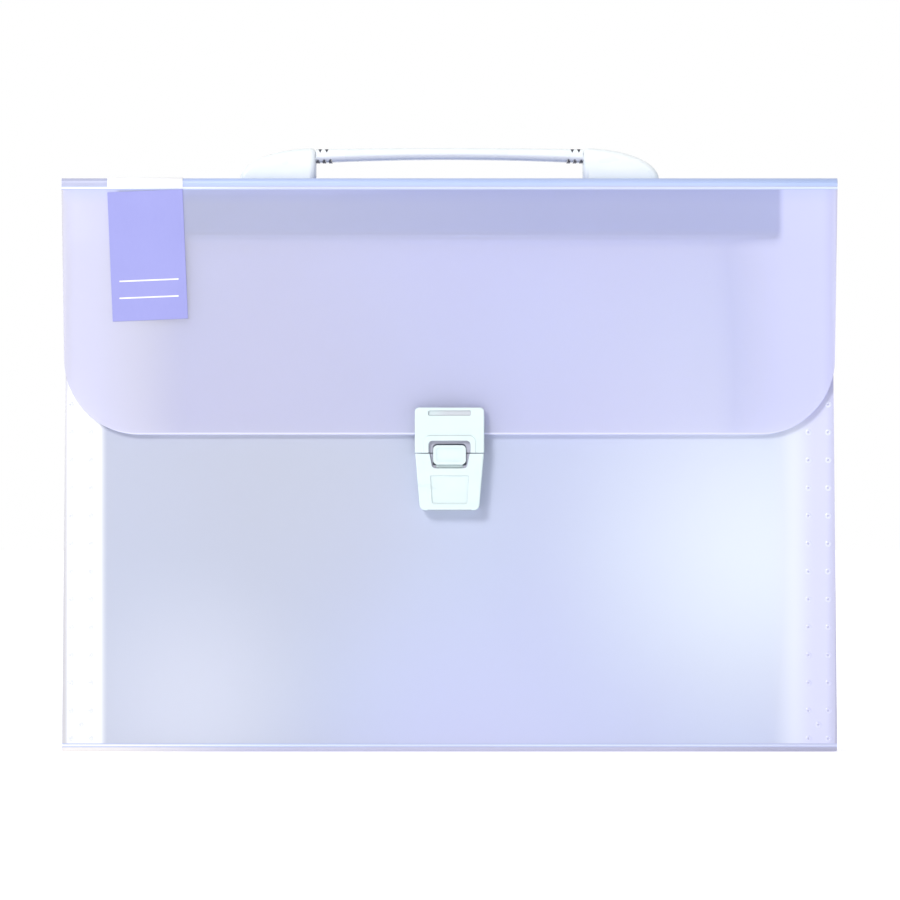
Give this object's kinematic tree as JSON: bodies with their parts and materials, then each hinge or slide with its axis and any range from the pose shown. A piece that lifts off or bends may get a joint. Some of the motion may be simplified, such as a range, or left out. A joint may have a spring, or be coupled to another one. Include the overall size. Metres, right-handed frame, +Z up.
{
  "type": "expanding file",
  "caption": "Carry-handled accordion file with fanning pockets between frosted covers, closed by a flap with a press latch",
  "frame": {"origin": "on the ground, under the middle of the file's overall width and depth", "axes": "+Z up, standing on the bottom spine; +X to the right seen from the front; the flap and latch face -Y"},
  "size_m": [0.33, 0.0422, 0.2573],
  "materials": {
    "cover_sheet": "frosted translucent sheet, pale lilac",
    "flap_sheet": "frosted translucent sheet, pale lilac",
    "front_sheet": "frosted translucent sheet, paler and bluer",
    "divider_sheet": "thin frosted sheet, nearly clear",
    "pleated_film": "thin pleated film, milky white",
    "weld": "spot welds, slightly clearer than the sheet",
    "latch_moulding": "satin white moulding with a faint mint tint",
    "backing_plate": "white moulded plate",
    "rivet": "white moulded rivets",
    "handle_moulding": "satin white moulding",
    "tag_print": "matt card printed periwinkle, with a pale border",
    "tag_card": "matt white card"
  },
  "bodies": {
    "shell": {"back_panel": "cover_sheet", "bottom_spine": "cover_sheet", "gusset_left": "pleated_film", "gusset_right": "pleated_film", "gusset_flange_back_left": "pleated_film", "gusset_flange_back_right": "pleated_film", "weld_dots_back_left": "weld", "weld_dots_back_right": "weld"},
    "front": {"front_panel": "front_sheet", "gusset_flange_front_left": "pleated_film", "gusset_flange_front_right": "pleated_film", "weld_dots_front_left": "weld", "weld_dots_front_right": "weld", "latch_base": "latch_moulding", "latch_base_plate": "backing_plate", "latch_base_rivets": "rivet"},
    "button": {"latch_button": "latch_moulding"},
    "top": {"top_spine": "cover_sheet", "handle_cap_left": "handle_moulding", "handle_cap_right": "handle_moulding", "handle_flex_left": "handle_moulding", "handle_flex_right": "handle_moulding", "handle_plate_left": "backing_plate", "handle_plate_right": "backing_plate", "handle_rivets": "rivet", "label_tag_fold": "tag_card"},
    "grip": {"handle_grip": "handle_moulding"},
    "flap": {"flap": "flap_sheet", "latch_keeper": "latch_moulding", "latch_keeper_plate": "backing_plate", "latch_keeper_rivets": "rivet", "label_tag": "tag_print"},
    "divider_01": {"divider_01": "divider_sheet"},
    "divider_02": {"divider_02": "divider_sheet"},
    "divider_03": {"divider_03": "divider_sheet"},
    "divider_04": {"divider_04": "divider_sheet"},
    "divider_05": {"divider_05": "divider_sheet"},
    "divider_06": {"divider_06": "divider_sheet"},
    "divider_07": {"divider_07": "divider_sheet"},
    "divider_08": {"divider_08": "divider_sheet"},
    "divider_09": {"divider_09": "divider_sheet"},
    "divider_10": {"divider_10": "divider_sheet"},
    "divider_11": {"divider_11": "divider_sheet"}
  },
  "joints": [
    {"name": "flap_open", "type": "hinge", "parent": "top", "child": "flap", "pos_m": [0, -0.01562, 0.2399], "axis": [-1, 0, 0], "range_deg": [0, 180]},
    {"name": "top_fold", "type": "hinge", "parent": "shell", "child": "top", "pos_m": [0, 0.02138, 0.2399], "axis": [-1, 0, 0], "range_deg": [0, 180]},
    {"name": "front_open", "type": "hinge", "parent": "shell", "child": "front", "pos_m": [0, -0.01243, 0.0027], "axis": [1, 0, 0], "range_deg": [0, 22.6], "deforming": ["gusset_left", "gusset_right"]},
    {"name": "button_press", "type": "hinge", "parent": "front", "child": "button", "pos_m": [0, -0.01243, 0.10675], "axis": [-1, 0, 0], "range_deg": [0, 4], "stiffness_Nm_per_rad": 0.05, "springref_deg": -2.86},
    {"name": "handle_lift", "type": "slide", "parent": "top", "child": "grip", "axis": [0, 0, 1], "range_m": [0, 0.012], "deforming": ["handle_flex_left", "handle_flex_right"]},
    {"name": "divider_fan_01", "type": "hinge", "parent": "shell", "child": "divider_01", "pos_m": [0, -0.01243, 0.0027], "axis": [1, 0, 0], "range_deg": [0, 22.11]},
    {"name": "divider_fan_02", "type": "hinge", "parent": "shell", "child": "divider_02", "pos_m": [0, -0.01243, 0.0027], "axis": [1, 0, 0], "range_deg": [0, 20.88]},
    {"name": "divider_fan_03", "type": "hinge", "parent": "shell", "child": "divider_03", "pos_m": [0, -0.01243, 0.0027], "axis": [1, 0, 0], "range_deg": [0, 19.03]},
    {"name": "divider_fan_04", "type": "hinge", "parent": "shell", "child": "divider_04", "pos_m": [0, -0.01243, 0.0027], "axis": [1, 0, 0], "range_deg": [0, 16.72]},
    {"name": "divider_fan_05", "type": "hinge", "parent": "shell", "child": "divider_05", "pos_m": [0, -0.01243, 0.0027], "axis": [1, 0, 0], "range_deg": [0, 14.09]},
    {"name": "divider_fan_06", "type": "hinge", "parent": "shell", "child": "divider_06", "pos_m": [0, -0.01243, 0.0027], "axis": [1, 0, 0], "range_deg": [0, 11.3]},
    {"name": "divider_fan_07", "type": "hinge", "parent": "shell", "child": "divider_07", "pos_m": [0, -0.01243, 0.0027], "axis": [1, 0, 0], "range_deg": [0, 8.51]},
    {"name": "divider_fan_08", "type": "hinge", "parent": "shell", "child": "divider_08", "pos_m": [0, -0.01243, 0.0027], "axis": [1, 0, 0], "range_deg": [0, 5.88]},
    {"name": "divider_fan_09", "type": "hinge", "parent": "shell", "child": "divider_09", "pos_m": [0, -0.01243, 0.0027], "axis": [1, 0, 0], "range_deg": [0, 3.57]},
    {"name": "divider_fan_10", "type": "hinge", "parent": "shell", "child": "divider_10", "pos_m": [0, -0.01243, 0.0027], "axis": [1, 0, 0], "range_deg": [0, 1.72]},
    {"name": "divider_fan_11", "type": "hinge", "parent": "shell", "child": "divider_11", "pos_m": [0, -0.01243, 0.0027], "axis": [1, 0, 0], "range_deg": [0, 0.49]}
  ],
  "couplings": [
    {"joint": "front_open", "follows": "flap_open", "ratio": 0.125},
    {"joint": "divider_fan_01", "follows": "flap_open", "ratio": 0.12254},
    {"joint": "divider_fan_02", "follows": "flap_open", "ratio": 0.11574},
    {"joint": "divider_fan_03", "follows": "flap_open", "ratio": 0.10547},
    {"joint": "divider_fan_04", "follows": "flap_open", "ratio": 0.092593},
    {"joint": "divider_fan_05", "follows": "flap_open", "ratio": 0.07798},
    {"joint": "divider_fan_06", "follows": "flap_open", "ratio": 0.0625},
    {"joint": "divider_fan_07", "follows": "flap_open", "ratio": 0.04702},
    {"joint": "divider_fan_08", "follows": "flap_open", "ratio": 0.032407},
    {"joint": "divider_fan_09", "follows": "flap_open", "ratio": 0.019531},
    {"joint": "divider_fan_10", "follows": "flap_open", "ratio": 0.009259},
    {"joint": "divider_fan_11", "follows": "flap_open", "ratio": 0.002459}
  ]
}
